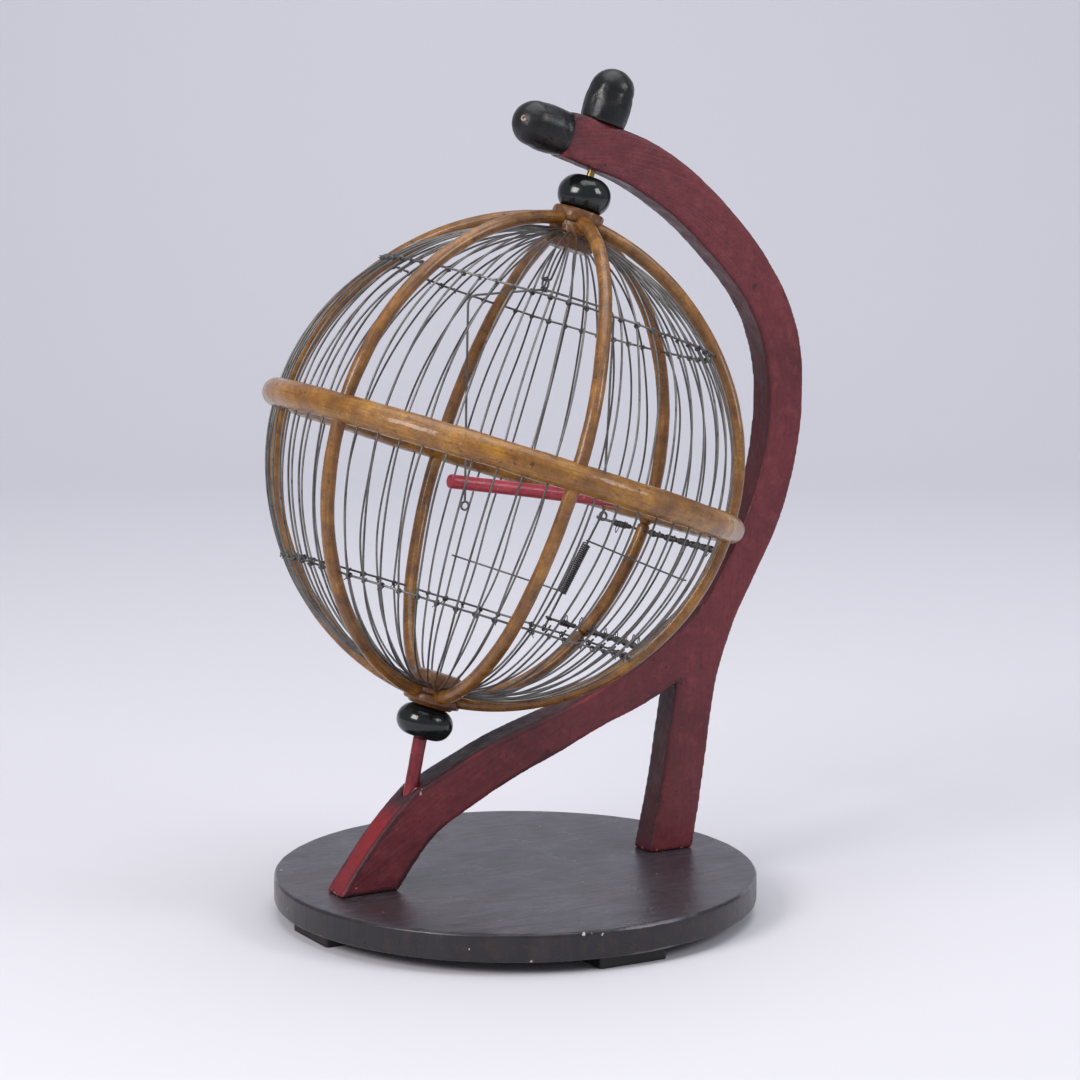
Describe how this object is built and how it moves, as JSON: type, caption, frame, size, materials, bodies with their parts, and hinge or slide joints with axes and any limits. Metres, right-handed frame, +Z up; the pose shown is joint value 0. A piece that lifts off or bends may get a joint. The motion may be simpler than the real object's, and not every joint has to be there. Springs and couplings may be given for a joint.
{
  "type": "globe cage on a stand",
  "caption": "Globe-shaped wire cage that turns on a leaning axis between the ends of a bent plank stand, with a sprung door and a hanging perch.",
  "frame": {"origin": "on the floor, under the middle of the round base", "axes": "+Z up; the plank stand lies in the XZ plane with its arm on the +X side and the globe axis leaning to +X; -Y is the front"},
  "size_m": [0.4539, 0.388, 0.6576],
  "materials": {
    "slate_paint": "worn satin slate-grey paint over wood",
    "black_paint": "flat black paint over wood",
    "red_paint": "worn semi-matt dark red paint over wood",
    "bright_red_paint": "glossy red paint over a dowel",
    "faded_red_paint": "glossy pinkish red paint over a dowel",
    "black_lacquer": "worn satin black paint over turned wood",
    "gloss_black": "glossy black-green lacquer over turned wood",
    "varnished_wood": "glossy honey-brown varnish",
    "varnished_cane": "glossy honey-brown varnish with dark flecks",
    "stained_cane": "glossy darker brown varnish with dark flecks",
    "grey_wire": "dull drawn wire",
    "dark_wire": "dark oiled wire",
    "plain_steel": "plain steel",
    "pin_brass": "dull brass"
  },
  "bodies": {
    "stand": {"base_disc": "slate_paint", "foot_right": "black_paint", "foot_back": "black_paint", "foot_left": "black_paint", "foot_front": "black_paint", "foot_screws": "plain_steel", "leg_screws": "plain_steel", "arm_board": "red_paint", "front_leg": "red_paint", "finial_top": "black_lacquer", "finial_end": "black_lacquer", "pivot_pin_top": "pin_brass", "pivot_pin_bottom": "plain_steel", "spindle_dowel": "bright_red_paint"},
    "globe": {"bead_top": "gloss_black", "bead_bottom": "gloss_black", "hub_cap_top": "varnished_wood", "hub_cap_bottom": "varnished_wood", "hub_plug_top": "varnished_wood", "hub_plug_bottom": "varnished_wood", "equator_ring": "varnished_cane", "rib_back_right": "stained_cane", "rib_back_left": "stained_cane", "rib_left": "stained_cane", "rib_front": "stained_cane", "rib_front_right": "stained_cane", "rib_door_upper": "stained_cane", "rib_door_lower": "stained_cane", "wires_back_right": "grey_wire", "wires_back": "grey_wire", "wires_back_left": "grey_wire", "wires_front_left": "grey_wire", "wires_front_right": "grey_wire", "wires_door_side": "grey_wire", "upper_hoop": "grey_wire", "lower_hoop": "grey_wire", "upper_ties": "dark_wire", "lower_ties": "dark_wire", "door_hinge_post": "grey_wire", "door_spring": "dark_wire", "swing_hanger": "grey_wire"},
    "swing": {"swing_bail": "grey_wire", "swing_perch": "faded_red_paint"},
    "door": {"door_wires": "grey_wire", "door_rib": "stained_cane", "door_top_bar": "dark_wire", "door_bottom_bar": "dark_wire", "door_top_wraps": "dark_wire", "door_bottom_wraps": "dark_wire", "door_spring_arm": "dark_wire"}
  },
  "joints": [
    {"name": "cage_spin", "type": "hinge", "parent": "stand", "child": "globe", "pos_m": [-0.01, 0, 0.358], "axis": [0.3338, 0, 0.9426], "continuous": true},
    {"name": "perch_swing", "type": "hinge", "parent": "globe", "child": "swing", "pos_m": [0.0277, 0, 0.4965], "axis": [0.9842, 0, -0.1771], "range_deg": [-15, 15]},
    {"name": "door_swing", "type": "hinge", "parent": "globe", "child": "door", "pos_m": [0.10241, 0.08125, 0.25385], "axis": [-0.6001, -0.1762, -0.7803], "range_deg": [0, 20], "stiffness_Nm_per_rad": 0.05, "springref_deg": -57.3}
  ]
}
